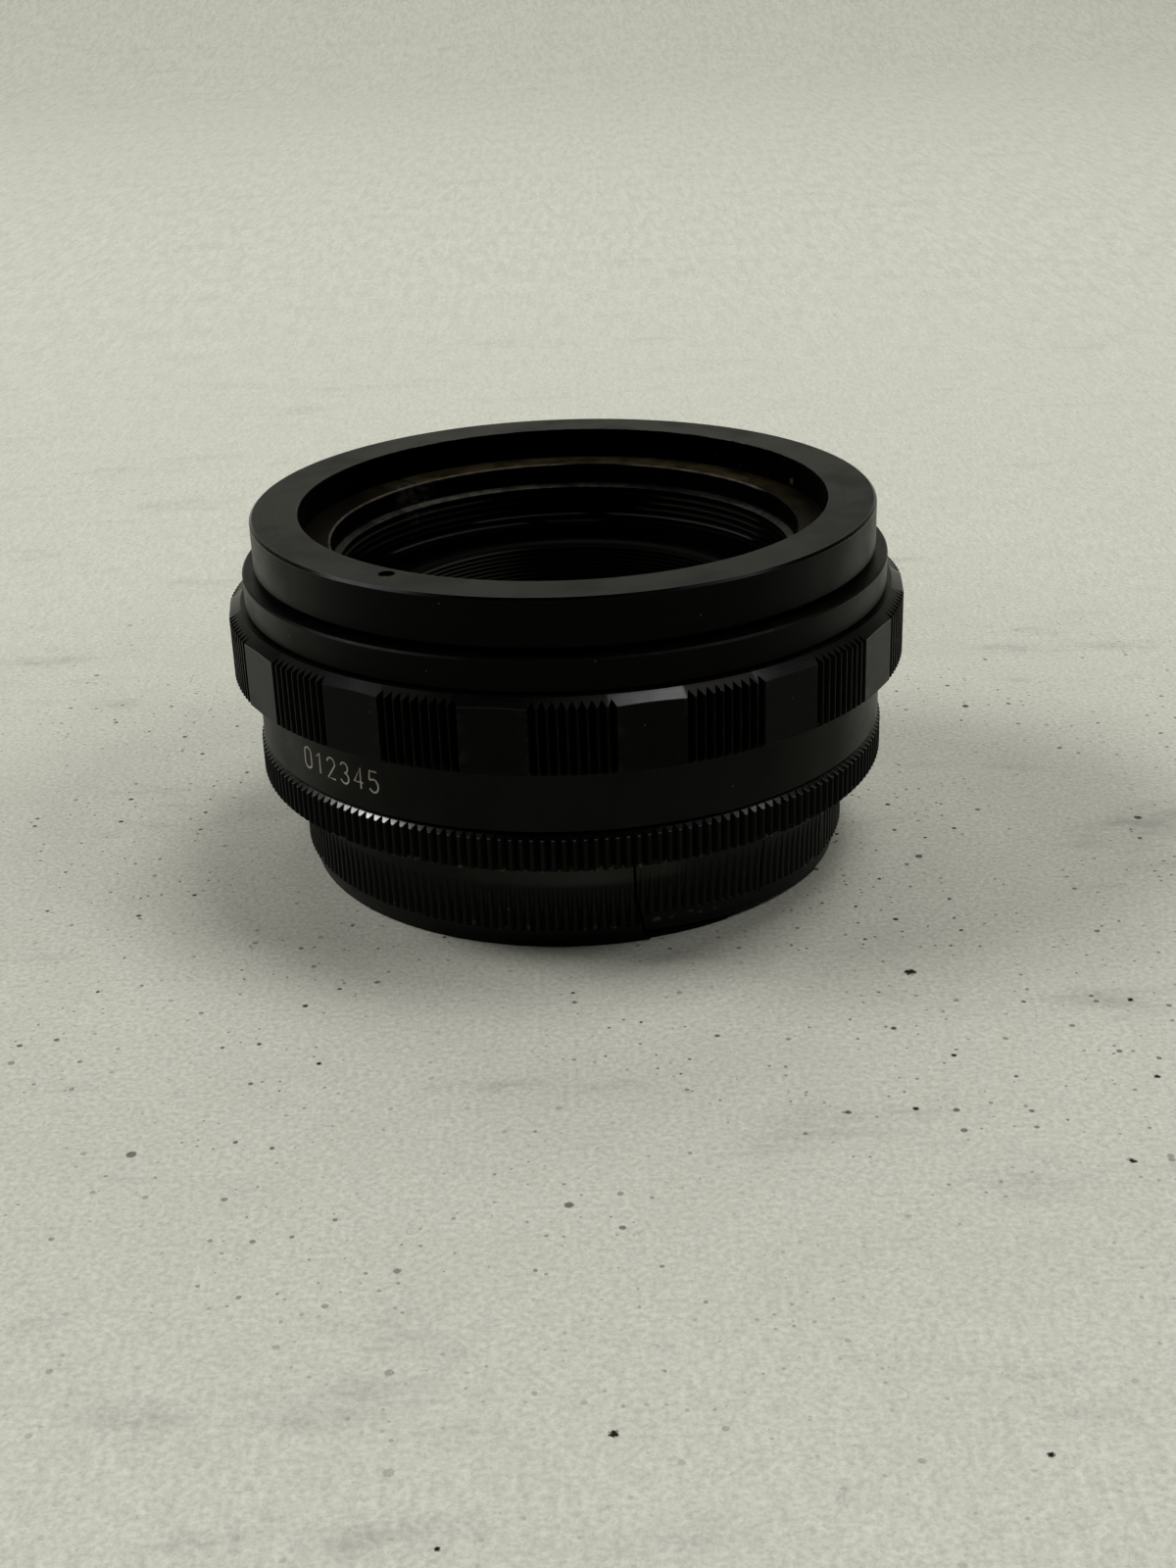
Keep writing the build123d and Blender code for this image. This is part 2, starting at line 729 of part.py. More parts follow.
def grip_screws_and_holes():
    """The grub screws that hold the grip ring on the focusing nut, and their holes."""
    height = (nut_flange_bottom + nut_flange_top) / 2
    face = grip_radius * math.cos(math.radians(grip_facet_width / 2))
    place = Pos(face - grip_screw_recess, 0, height) * Rot(0, 90, 0)
    screw = grub_screw(grip_screw_radius, grip_screw_length)
    hole_length = grip_screw_length + seat_gap
    hole = Pos(0, 0, 1 - (hole_length + 1) / 2) * Cylinder(grip_screw_radius + hole_gap, hole_length + 1)
    angles = [grip_facet_angle + facet * 360 / grip_facet_count for facet in grip_screw_facets]
    return (
        [at_angle(angle, place * screw) for angle in angles],
        [at_angle(angle, place * hole) for angle in angles],
    )


def focus_grip_ring(holes):
    """Grip ring with flat facets and ribbed pads, bevelled above and below."""
    inner = nut_flange_radius + running_gap
    blank = turned(
        (inner, grip_bottom),
        (grip_radius - grip_bottom_bevel_width, grip_bottom),
        (grip_radius, grip_bottom + grip_bottom_bevel_height),
        (grip_radius, grip_top - grip_top_bevel_height),
        (grip_radius - grip_top_bevel_width, grip_top),
        (inner, grip_top),
    )
    points = [(x, y, grip_bottom) for x, y in grip_outline()]
    plate = extrude(make_face(Polyline(*points, close=True)), amount=grip_height, dir=(0, 0, 1))
    return cut_all(blank & plate, holes)


def scale_ring():
    """Smooth ring above the grip, whose skirt stands on the focusing nut inside the grip ring."""
    skirt_bottom = nut_flange_top + running_gap
    return turned(
        (scale_bore_radius, skirt_bottom),
        (nut_flange_radius, skirt_bottom),
        (nut_flange_radius, scale_bottom),
        (scale_radius - scale_chamfer / 2, scale_bottom),
        (scale_radius, scale_bottom + scale_chamfer / 2),
        (scale_radius, scale_top - scale_chamfer),
        (scale_radius - scale_chamfer, scale_top),
        (scale_bore_radius, scale_top),
    )


def lock_screw_and_hole():
    """The grub screw in the front face, which locks the front ring to the lens seat ring."""
    place = Pos(lock_screw_circle, 0, front_face - lock_screw_pit)
    length = lock_screw_depth - lock_screw_pit
    hole_length = length + seat_gap
    hole = Pos(0, 0, 1 - (hole_length + 1) / 2) * Cylinder(lock_screw_radius + hole_gap, hole_length + 1)
    return (
        at_angle(lock_screw_angle, place * grub_screw(lock_screw_radius, length)),
        at_angle(lock_screw_angle, place * hole),
    )


def front_ring(hole):
    """Front ring: a flat-faced flange over a skirt that slides inside the scale ring."""
    seat_bore = seat_ring_radius + running_gap
    ring = turned(
        (lens_bore_radius, seat_face),
        (lens_bore_radius, front_face - lens_bore_chamfer),
        (lens_bore_radius + lens_bore_chamfer, front_face),
        (front_radius - front_chamfer, front_face),
        (front_radius, front_face - front_chamfer),
        (front_radius, front_flange_bottom),
        (front_skirt_radius, front_flange_bottom),
        (front_skirt_radius, front_skirt_bottom),
        (front_skirt_bore, front_skirt_bottom),
        (front_skirt_bore, seat_shoulder),
        (seat_bore, seat_shoulder),
        (seat_bore, seat_face),
    )
    return ring - hole


def slide_screws_and_holes():
    """The screws that hold the sliding barrel to the lens seat ring, heads down, and their holes."""
    place = Pos(slide_screw_circle, 0, slide_flange_bottom + slide_screw[1] + seat_gap) * Rot(180, 0, 0)
    angles = even_angles(slide_screw_count, slide_screw_first_angle)
    return screws_and_holes(slide_screw, slide_flange_thickness, slide_screw_bite, place, angles)


def lens_seat_ring(holes):
    """Stepped ring that the lens head sits in: a flat seat, a bevelled step and the thread."""
    step = seat_face - lens_seat_depth
    top = seat_face - seat_gap
    thread = grooved_wall(thread_crest_radius, thread_start, thread_end, thread_pitch, thread_depth,
                          thread_land)
    ring = turned(
        (seat_neck_radius, thread_end),
        (seat_neck_radius, seat_shoulder),
        (seat_ring_radius, seat_shoulder),
        (seat_ring_radius, top),
        (lens_seat_radius + lens_seat_edge, top),
        (lens_seat_radius, top - lens_seat_edge),
        (lens_seat_radius, step),
        (thread_crest_radius + thread_lead_width, step),
        *thread,
    )
    return cut_all(ring, holes)


def helicoid_barrel(cutters):
    """Sliding barrel: threaded outside in the focusing nut, slotted inside for the guide keys."""
    barrel = turned(
        (slide_bore_radius, slide_bottom),
        (slide_radius, slide_bottom),
        (slide_radius, slide_flange_bottom),
        (slide_flange_radius, slide_flange_bottom),
        (slide_flange_radius, seat_shoulder - seat_gap),
        (seat_neck_radius + running_gap, seat_shoulder - seat_gap),
        (seat_neck_radius + running_gap, thread_end - seat_gap),
        (slide_bore_radius, thread_end - seat_gap),
    )
    return cut_all(barrel, cutters)


def all_parts():
    """Every node of the assembly, by name."""
    bayonet_screws, bayonet_holes = bayonet_screws_and_holes()
    sleeve_screws, sleeve_holes = sleeve_screws_and_holes()
    key_screws, key_holes = key_screws_and_holes()
    stop_screws, stop_holes = stop_screws_and_holes()
    retainer_screws, retainer_holes = retainer_screws_and_holes()
    grip_screws, grip_holes = grip_screws_and_holes()
    slide_screws, slide_holes = slide_screws_and_holes()
    lock_screw, lock_hole = lock_screw_and_hole()
    bead, bead_hole = bead_parts()
    return {
        "rear_cap": [rear_cap()],
        "bayonet_flange": [bayonet_flange(bayonet_holes)],
        "bayonet_flange_screws": bayonet_screws,
        "flange_shim": [flange_shim(bayonet_holes)],
        "knurled_flange_ring": [knurled_flange_ring()],
        "fixed_barrel": [fixed_barrel(bayonet_holes + sleeve_holes + stop_holes + [bead_hole])],
        "mounting_bead": [bead],
        "guide_sleeve": [guide_sleeve(sleeve_holes + key_holes)],
        "guide_sleeve_screws": sleeve_screws,
        "guide_keys": guide_keys(key_holes),
        "guide_key_screws": key_screws,
        "light_baffle_tube": [light_baffle_tube()],
        "focus_stop_segment": [focus_stop_segment(stop_holes)],
        "stop_segment_screws": stop_screws,
        "thrust_washer": [thrust_washer()],
        "focusing_nut": [focusing_nut(retainer_holes + grip_holes)],
        "retaining_ring": [retaining_ring(retainer_holes)],
        "retaining_ring_screws": retainer_screws,
        "stop_pin": [stop_pin()],
        "focus_grip_ring": [focus_grip_ring(grip_holes)],
        "grip_set_screws": grip_screws,
        "scale_ring": [scale_ring()],
        "front_ring": [front_ring(lock_hole)],
        "front_lock_screw": [lock_screw],
        "lens_seat_ring": [lens_seat_ring(slide_holes + [lock_hole])],
        "helicoid_barrel": [helicoid_barrel(slide_holes + key_slots())],
        "helicoid_barrel_screws": slide_screws,
    }


def main():
    """Writes each node to its own file."""
    os.makedirs("parts", exist_ok=True)
    for name, solids in all_parts().items():
        shape = solids[0] if len(solids) == 1 else Compound(children=list(solids))
        export_step(shape, f"parts/{name}.step")


main()
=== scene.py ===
"""Finish, engraving, light and camera of the lens focusing mount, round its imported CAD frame. Metres, +Z up."""

import json
import math

import bpy
from mathutils import Matrix, Vector


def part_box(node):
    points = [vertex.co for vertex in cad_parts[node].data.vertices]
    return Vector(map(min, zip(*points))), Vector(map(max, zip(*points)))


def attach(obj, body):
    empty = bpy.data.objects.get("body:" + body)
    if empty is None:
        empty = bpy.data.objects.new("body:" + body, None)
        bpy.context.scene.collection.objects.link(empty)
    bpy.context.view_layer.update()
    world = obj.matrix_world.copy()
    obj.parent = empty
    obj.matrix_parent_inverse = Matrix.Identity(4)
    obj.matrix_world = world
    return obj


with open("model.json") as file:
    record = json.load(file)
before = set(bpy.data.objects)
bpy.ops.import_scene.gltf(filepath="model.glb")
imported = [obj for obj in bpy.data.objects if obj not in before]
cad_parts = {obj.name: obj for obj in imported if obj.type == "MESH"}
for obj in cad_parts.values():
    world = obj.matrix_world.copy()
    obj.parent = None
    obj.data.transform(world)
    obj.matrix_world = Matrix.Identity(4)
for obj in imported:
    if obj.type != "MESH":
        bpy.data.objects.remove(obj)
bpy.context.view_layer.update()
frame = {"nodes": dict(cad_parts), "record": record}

MM = 0.001

# Camera, found by fitting a pinhole camera to the rings: the offset is in front-ring radii, the lens in mm
CAMERA_ELEVATION = math.radians(24.14)
CAMERA_ROLL = math.radians(2.02)
CAMERA_OFFSET = Vector((-0.044, 0.1384, 7.131))
CAMERA_LENS = 47.6
CAMERA_CLIP = (0.01, 20)

# Top bevels of three rings as the part's source has them: width and height in mm
FRONT_BEVEL = (0.22, 0.22)
GRIP_BEVEL = (1.08, 0.68)
KNURL_BEVEL = (0.77, 0.59)

# Width in mm of the pale band along the worn edge of a ring
EDGE_WEAR = {"front_ring": 0.25, "scale_ring": 0.22, "fixed_barrel": 0.2, "knurled_flange_ring": 0.22}

# Degrees from one flat facet of the grip to the next, and half the width of a facet
GRIP_PITCH = 24.0
GRIP_FACET_HALF = 6.0

# Heights between which the rear cap is ribbed, in mm
CAP_RIBS = (2.0, 6.3)

# Half angles, in radians from the front, within which the cap's upper band is scuffed pale with a painted sheen and
# beyond which not
CAP_SCUFF_SHEEN_ANGLES = (0.28, 0.42)

# Lens seat ring and light baffle as the part's source has them, in mm
SEAT_STEP = 0.65
SEAT_DEPTH = 1.99
STEP_DROP = 0.27
BAFFLE_BORE = 17.20

# Angles in the tables below are in degrees, counted from the front towards +X

# Grains of dust on the bore's wall: angle, height and size in mm, and colour
BORE_DUST = (
    (114.4, 31.3, 0.72, (0.42, 0.29, 0.22)),
    (140.5, 31.9, 0.28, (0.05, 0.05, 0.05)),
    (133.4, 31.3, 0.34, (0.05, 0.045, 0.04)),
    (124.0, 31.1, 0.30, (0.06, 0.05, 0.04)),
    (222.0, 32.3, 0.34, (0.02, 0.02, 0.02)),
    (238.7, 31.9, 0.34, (0.025, 0.025, 0.025)),
)

# Stretches of the ledge painted less brown, as painted shade: two angles, the width of their soft ends and the change
LEDGE_PAINTED_SHADES = ((242.0, 300.0, 30.0, -0.85), (60.0, 112.0, 16.0, -0.6))

# Angles between which the ledge's rim is painted pale as a painted highlight, and the width of their soft ends
RIM_GLINTS = ((122.0, 158.0), (184.0, 300.0))
RIM_SOFT = 8.0

# Bright lines on the thread, painted highlights on its crests: the height in mm, the angles between which it shows
# and its strength
THREAD_GLINTS = (
    (25.52, 122.0, 165.0, 1.0), (25.52, 177.0, 203.0, 1.0),
    (24.80, 193.0, 232.0, 1.0), (24.80, 173.0, 183.0, 0.8),
    (27.62, 205.0, 262.0, 0.35), (27.62, 118.0, 150.0, 0.30),
    (26.92, 118.0, 152.0, 0.35), (26.22, 118.0, 156.0, 0.30),
    (26.92, 210.0, 250.0, 0.10), (26.22, 206.0, 245.0, 0.15),
)
THREAD_SOFT = 5.0

# Dusty patch on the wall between the step and the ledge: its angle, its size in mm and how much it lightens
DUSTY_PATCH = (224, 5.2, 0.12)

# Engraving on the fixed barrel, plain numerals: lengths in metres, angles in degrees
NUMERALS = "012345"
NUMERAL_HEIGHT = 1.95 * MM
NUMERAL_WIDTH = 1.02 * MM
NUMERAL_STROKE = 0.158 * MM
NUMERAL_BASELINE = 14.98 * MM
NUMERAL_FIRST_ANGLE = -52.9
NUMERAL_PITCH_ANGLE = 3.35
NUMERAL_PAINT_DEPTH = 0.012 * MM

# Colours of the rings and of what wears and soils them
BLACK = (0.0030, 0.0030, 0.0026)
BARREL_BLACK = (0.0080, 0.0079, 0.0071)
RUBBED = (0.0055, 0.0047, 0.0038)
# Knurl ridge tips: partly rubbed, partly a painted highlight
RIDGE_RUB_AND_HIGHLIGHT = (0.0062, 0.0062, 0.0054)
WORN_GREY = (0.060, 0.058, 0.054)
DUST = (0.16, 0.15, 0.125)
PIT_BLACK = (0.0004, 0.0004, 0.0003)
FRONT_SHINE = (0.0045, 0.0045, 0.0047)
KNURL_SHINE = (0.080, 0.080, 0.082)
GRIP_SHINE = (0.0145, 0.0145, 0.0150)

# Colours inside the bore
INNER_BLACK = (0.0006, 0.0006, 0.0005)
STAIN_BROWN = (0.0030, 0.0024, 0.0017)
LEDGE_BROWN = (0.0200, 0.0160, 0.0082)
# Painted highlight on the ledge's rim
LEDGE_RIM_GLINT = (0.092, 0.078, 0.058)
STEP_METAL = (0.055, 0.053, 0.044)
# Painted highlight on the thread's crests
CREST_GLINT = (0.060, 0.062, 0.055)
# Painted highlight on the baffle's rib tips
BAFFLE_TIPS_PAINTED_LIGHT = (0.040, 0.041, 0.035)
BAFFLE_HEAD = (0.0052, 0.0054, 0.0042)

# Colours of the rear cap
PLASTIC_BLACK = (0.0052, 0.0052, 0.0044)
CAP_PALE = (0.0100, 0.0098, 0.0082)
# Scuffed pale, with a painted sheen at the front
CAP_SCUFF_AND_SHEEN = (0.034, 0.033, 0.029)
CAP_PATCH = (0.0065, 0.0062, 0.0054)
CAP_RIB_SCUFF = (0.018, 0.018, 0.016)

# Colours of the engraving and the bead
CREAM = (0.40, 0.385, 0.325)
CREAM_WORN = (0.20, 0.19, 0.155)
BEAD_RED = (0.35, 0.02, 0.015)

# Bare metals: colour and roughness
STEEL = ((0.30, 0.29, 0.27), 0.35)
BRASS = ((0.55, 0.40, 0.18), 0.30)
BRONZE = ((0.45, 0.30, 0.15), 0.35)
CHROME = ((0.62, 0.61, 0.58), 0.22)

# Share of bare metal that gives the black finish its gloss, and roughness of the bevels
SHINE = 0.72
BEVEL_ROUGHNESS = 0.18

# Lathe marks: scale across the lines in 1/mm and along them in 1/radian
LATHE_ACROSS = 9.0
LATHE_ALONG = 0.35


def outer_radius(node):
    """Largest radius of a round node, from its box."""
    low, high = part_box(node)
    return (high.x - low.x) / 2


def top_of(node):
    """Height of a node's top."""
    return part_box(node)[1].z


def bottom_of(node):
    """Height of a node's underside."""
    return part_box(node)[0].z


def mount_radius(name):
    """Radius of one of the record's round mounts."""
    for mount in frame["record"]["mounts"]:
        if mount["name"] == name:
            return mount["dims"]["r_mm"] * MM
    raise KeyError(name)


def in_mm(value):
    """A length in mm."""
    return value / MM


def outer_corner(node):
    """Outer radius and top of a round node, in mm."""
    return in_mm(outer_radius(node)), in_mm(top_of(node))


class Finish:
    """A material under construction: its node tree, its shader and the object's own coordinates in mm."""

    def __init__(self, name, colour, roughness, specular, metallic=0.0):
        self.material = bpy.data.materials.new(name)
        self.material.use_nodes = True
        self.tree = self.material.node_tree
        self.shader = self.tree.nodes["Principled BSDF"]
        self.shader.inputs["Base Color"].default_value = (*colour, 1)
        self.shader.inputs["Roughness"].default_value = roughness
        self.shader.inputs["Specular IOR Level"].default_value = specular
        self.shader.inputs["Metallic"].default_value = metallic
        self.roughness = roughness
        self.place = self.vector("SCALE", self.node("ShaderNodeTexCoord").outputs["Object"], scale=1 / MM)
        parts = self.node("ShaderNodeSeparateXYZ", Vector=self.place).outputs
        self.x, self.y, self.height = parts["X"], parts["Y"], parts["Z"]
        self.radius = self.length(self.x, self.y)
        self.angle = self.maths("ARCTAN2", self.x, self.times(self.y, -1.0))
        self.bump_height = None

    def node(self, kind, **inputs):
        """Adds a node and sets or links its inputs."""
        made = self.tree.nodes.new(kind)
        for name, value in inputs.items():
            self.feed(made.inputs[name], value)
        return made

    def feed(self, socket, value):
        """Links an input to a socket, or sets it to a plain value."""
        if isinstance(value, bpy.types.NodeSocket):
            self.tree.links.new(value, socket)
        else:
            socket.default_value = value

    def fed(self, name):
        """What feeds an input of the shader so far: a socket, or its plain value."""
        socket = self.shader.inputs[name]
        return socket.links[0].from_socket if socket.links else socket.default_value

    def maths(self, operation, a, b=0.0, clamp=False):
        """One operation on numbers."""
        made = self.tree.nodes.new("ShaderNodeMath")
        made.operation = operation
        made.use_clamp = clamp
        self.feed(made.inputs[0], a)
        self.feed(made.inputs[1], b)
        return made.outputs[0]

    def times(self, a, b):
        """Product of two numbers."""
        return self.maths("MULTIPLY", a, b)

    def plus(self, a, b, clamp=False):
        """Sum of two numbers."""
        return self.maths("ADD", a, b, clamp)

    def minus(self, a, b):
        """Difference of two numbers."""
        return self.maths("SUBTRACT", a, b)

    def off(self, value, centre):
        """How far a value is from a centre, on either side."""
        return self.maths("ABSOLUTE", self.minus(value, centre))

    def length(self, across, up):
        """Length of a line that goes so far across and so far up."""
        return self.maths("SQRT", self.plus(self.times(across, across), self.times(up, up)))

    def vector(self, operation, a, b=None, scale=None):
        """One operation on vectors."""
        made = self.tree.nodes.new("ShaderNodeVectorMath")
        made.operation = operation
        self.feed(made.inputs[0], a)
        if b is not None:
            self.feed(made.inputs[1], b)
        if scale is not None:
            self.feed(made.inputs["Scale"], scale)
        return made.outputs["Value" if operation == "LENGTH" else "Vector"]

    def ramp(self, value, low, high, first=0.0, last=1.0, smooth=True):
        """Maps a value from low..high to first..last, held at both ends."""
        made = self.tree.nodes.new("ShaderNodeMapRange")
        made.interpolation_type = "SMOOTHSTEP" if smooth else "LINEAR"
        self.feed(made.inputs["Value"], value)
        made.inputs["From Min"].default_value = low
        made.inputs["From Max"].default_value = high
        made.inputs["To Min"].default_value = first
        made.inputs["To Max"].default_value = last
        return made.outputs["Result"]

    def fall(self, value, low, high):
        """1 up to a low limit of a value, 0 from the high one on."""
        return self.ramp(value, low, high, 1.0, 0.0)

    def between(self, value, low, high, soft):
        """1 where a value lies between two limits, falling to 0 beyond them."""
        return self.times(self.ramp(value, low - soft, low), self.fall(value, high, high + soft))

    def noise(self, place, scale, detail=3.0, roughness=0.55):
        """Soft noise about 0.5, at a scale in 1/mm."""
        made = self.node("ShaderNodeTexNoise", Vector=place, Scale=scale, Detail=detail, Roughness=roughness)
        return made.outputs["Fac"]

    def patches(self, scale, low, high, first=0.0, last=1.0, **noise):
        """Scattered patches: noise at a scale in 1/mm, ramped between two of its levels."""
        return self.ramp(self.noise(self.place, scale, **noise), low, high, first, last)

    def degrees(self):
        """Angle round the axis from the front, in degrees and always positive."""
        return self.plus(self.times(self.angle, 180 / math.pi), 360.0)

    def stretched(self, across, along, up=None):
        """The place, scaled by its own amount in each direction. Without the last it doesn't change with height."""
        made = self.node("ShaderNodeCombineXYZ", X=self.times(self.x, across), Y=self.times(self.y, along))
        if up is not None:
            self.feed(made.inputs["Z"], self.times(self.height, up))
        return made.outputs[0]

    def round_place(self):
        """The place, stretched round the axis as turning marks run."""
        made = self.node("ShaderNodeCombineXYZ", X=self.times(self.radius, LATHE_ACROSS),
                         Y=self.times(self.height, LATHE_ACROSS), Z=self.times(self.angle, LATHE_ALONG))
        return made.outputs[0]

    def specks(self, scale, size, share=0.5, flat=False):
        """Small scattered spots: 1 inside a spot. A share of the cells has one, of up to a size in cells."""
        ragged = self.node("ShaderNodeTexNoise", Vector=self.place, Scale=3.0 / size * scale).outputs["Color"]
        wobble = self.vector("SCALE", ragged, scale=0.5 * size / scale)
        cells = self.node("ShaderNodeTexVoronoi", Scale=scale)
        cells.voronoi_dimensions = "2D" if flat else "3D"
        self.feed(cells.inputs["Vector"], self.vector("ADD", self.place, wobble))
        pick = self.node("ShaderNodeSeparateXYZ", Vector=cells.outputs["Color"]).outputs["X"]
        reach = self.ramp(pick, 1.0 - share, 1.0, 0.0, size, smooth=False)
        return self.fall(self.minus(cells.outputs["Distance"], reach), -0.3 * size, 0.0)

    def near(self, corner, width):
        """1 at a corner of the round section, given as radius and height in mm, falling to 0 at a width."""
        away = self.length(self.minus(self.radius, corner[0]), self.minus(self.height, corner[1]))
        ragged = self.plus(away, self.times(self.noise(self.place, 1.1), 0.6 * width))
        return self.fall(ragged, 0.25 * width, width)

    def along(self, start, end, width):
        """1 on a line of the round section between two corners in mm, falling to 0 at a width."""
        reach = Vector(end) - Vector(start)
        across, up = self.minus(self.radius, start[0]), self.minus(self.height, start[1])
        share = self.plus(self.times(across, reach.x / reach.length_squared),
                          self.times(up, reach.y / reach.length_squared), clamp=True)
        away = self.length(self.minus(across, self.times(share, reach.x)), self.minus(up, self.times(share, reach.y)))
        return self.fall(away, 0.5 * width, width)

    def spot(self, angle, radius, height, size):
        """1 at a point, given by its angle, radius and height in mm, falling to 0 at a size."""
        a = math.radians(angle)
        point = (radius * math.sin(a), -radius * math.cos(a), height)
        away = self.vector("LENGTH", self.vector("SUBTRACT", self.place, point))
        wobble = self.times(self.noise(self.place, 3.0 / size), 0.8 * size)
        return self.fall(self.plus(away, wobble), 0.7 * size, size)

    def blend(self, factor, colour, share=None):
        """Mixes a colour over the base colour, by a factor or by a share of it."""
        made = self.tree.nodes.new("ShaderNodeMix")
        made.data_type = "RGBA"
        self.feed(made.inputs["Factor"], factor if share is None else self.times(factor, share))
        self.feed(made.inputs["A"], self.fed("Base Color"))
        made.inputs["B"].default_value = (*colour, 1)
        self.tree.links.new(made.outputs["Result"], self.shader.inputs["Base Color"])

    def polish(self, factor, amount):
        """Lets bare metal through by a share, which reflects more than the finish round it."""
        added = self.plus(self.fed("Metallic"), self.times(factor, amount), clamp=True)
        self.tree.links.new(added, self.shader.inputs["Metallic"])

    def roughen(self, factor, change):
        """Adds a share of a change to the roughness."""
        added = self.plus(self.fed("Roughness"), self.times(factor, change), clamp=True)
        self.tree.links.new(added, self.shader.inputs["Roughness"])

    def blacken(self, factor):
        """Takes both colour and gloss away: a black metal reflects next to nothing. It makes a blackened bore, and
        painted shade at the cap's foot.
        """
        self.blend(factor, PIT_BLACK)
        self.polish(factor, 1.0)

    def raise_by(self, factor, height):
        """Adds a height in mm, times a factor, to the bump."""
        part = self.times(factor, height)
        self.bump_height = part if self.bump_height is None else self.plus(self.bump_height, part)

    def done(self):
        """Links the bump and returns the material."""
        if self.bump_height is not None:
            bump = self.node("ShaderNodeBump", Height=self.bump_height, Strength=1.0, Distance=MM)
            self.tree.links.new(bump.outputs["Normal"], self.shader.inputs["Normal"])
        return self.material


def turning_marks(finish, depth):
    """Fine lines left by the lathe, in bump and gloss. The depth is in mm."""
    lines = finish.noise(finish.round_place(), 1.0, detail=2.0)
    finish.raise_by(lines, depth)
    finish.roughen(lines, 0.10)


def handling(finish):
    """Uneven gloss, faint brown patches and dust, as on a mount that was handled for years."""
    patches = finish.patches(0.16, 0.42, 0.72, detail=4.0)
    finish.roughen(patches, 0.10)
    finish.blend(patches, RUBBED, 0.45)
    finish.blend(finish.specks(0.8, 0.075), DUST, 0.5)
    finish.raise_by(finish.noise(finish.place, 7.0, detail=2.0), 0.0008)


def shine_bevel(finish, corner, size, colour, where=None):
    """Makes a ring's top bevel shine. The corner is the ring's radius and top, the size a width and a height."""
    radius, top = corner
    width, height = size
    mask = finish.along((radius, top - height), (radius - width, top), 0.10)
    if where is not None:
        mask = finish.times(mask, where)
    finish.blend(mask, colour)
    finish.polish(mask, 1.0)
    finish.roughen(mask, BEVEL_ROUGHNESS - finish.roughness)


def wear_edge(finish, corner, width):
    """Wears a corner of the round section pale in places, over a width in mm."""
    mask = finish.times(finish.near(corner, width), finish.patches(0.8, 0.35, 0.70, detail=4.0))
    finish.blend(mask, WORN_GREY, 0.5)
    finish.polish(mask, 0.5)


def satin_black(name, colour=BLACK):
    """Satin black finish with turning marks, handled. It's returned unfinished, for more wear."""
    finish = Finish(name, colour, roughness=0.34, specular=0.035, metallic=SHINE)
    turning_marks(finish, 0.0022)
    handling(finish)
    return finish


def ring_metal(name, ring, colour=BLACK):
    """Satin black metal, worn pale along the ring's upper edge."""
    finish = satin_black(name, colour)
    wear_edge(finish, outer_corner(ring), EDGE_WEAR[ring])
    return finish.done()


def front_metal(name, ring, bore_radius):
    """Front ring: satin black metal whose bore is a dead black with a few grains of dust."""
    finish = satin_black(name)
    corner = outer_corner(ring)
    top = corner[1]
    shine_bevel(finish, corner, FRONT_BEVEL, FRONT_SHINE)
    wear_edge(finish, (bore_radius, top), EDGE_WEAR[ring])
    inside = finish.fall(finish.radius, bore_radius + 0.01, bore_radius + 0.03)
    finish.blacken(finish.times(inside, finish.fall(finish.height, top - 0.06, top - 0.04)))
    for angle, height, size, colour in BORE_DUST:
        finish.blend(finish.spot(angle, bore_radius, height, size), colour)
    return finish.done()


def knurled_metal(name, ring):
    """Black knurled metal, its ridges rubbed and with a painted highlight, and pale dust caught at the foot of its
    grooves.
    """
    finish = Finish(name, BLACK, roughness=0.50, specular=0.05)
    handling(finish)
    corner = outer_corner(ring)
    radius, bottom = corner[0], in_mm(bottom_of(ring))
    # Ridge tips painted lighter: partly rubbed metal, partly a painted highlight on the lit ridges
    tips = finish.ramp(finish.radius, radius - 0.20, radius - 0.08)
    finish.blend(tips, RIDGE_RUB_AND_HIGHLIGHT, finish.patches(0.35, 0.3, 0.7, 0.4))
    foot = finish.fall(finish.height, bottom + 0.10, bottom + 0.45)
    finish.blend(finish.times(foot, finish.patches(1.3, 0.58, 0.66)), DUST, 0.5)
    shine_bevel(finish, corner, KNURL_BEVEL, KNURL_SHINE)
    wear_edge(finish, (radius, bottom), EDGE_WEAR[ring])
    return finish.done()


def grip_metal(name, ring):
    """Black metal whose ridge tips are polished by hand. Its bevel shines at the flat facets."""
    finish = Finish(name, BLACK, roughness=0.32, specular=0.06, metallic=SHINE)
    handling(finish)
    turning_marks(finish, 0.0012)
    corner = outer_corner(ring)
    tips = finish.ramp(finish.radius, corner[0] - 0.10, corner[0])
    wear_and_glint = finish.times(tips, finish.patches(0.9, 0.45, 0.75))
    finish.blend(wear_and_glint, WORN_GREY, 0.10)
    finish.roughen(wear_and_glint, -0.08)
    off_facet = finish.off(finish.maths("MODULO", finish.degrees(), GRIP_PITCH), GRIP_PITCH / 2)
    on_facet = finish.ramp(off_facet, GRIP_FACET_HALF - 0.3, GRIP_FACET_HALF + 0.3, 1.0, 0.10)
    shine_bevel(finish, corner, GRIP_BEVEL, GRIP_SHINE, on_facet)
    return finish.done()


def inner_black(name, stain=0.5):
    """Dull black of the surfaces inside, with brown stains and dust. It's returned unfinished, for more wear."""
    finish = Finish(name, INNER_BLACK, roughness=0.34, specular=0.012)
    turning_marks(finish, 0.0025)
    finish.blend(finish.patches(0.30, 0.50, 0.72, detail=5.0), STAIN_BROWN, stain)
    finish.blend(finish.specks(0.8, 0.06, 0.3), DUST, 0.35)
    return finish


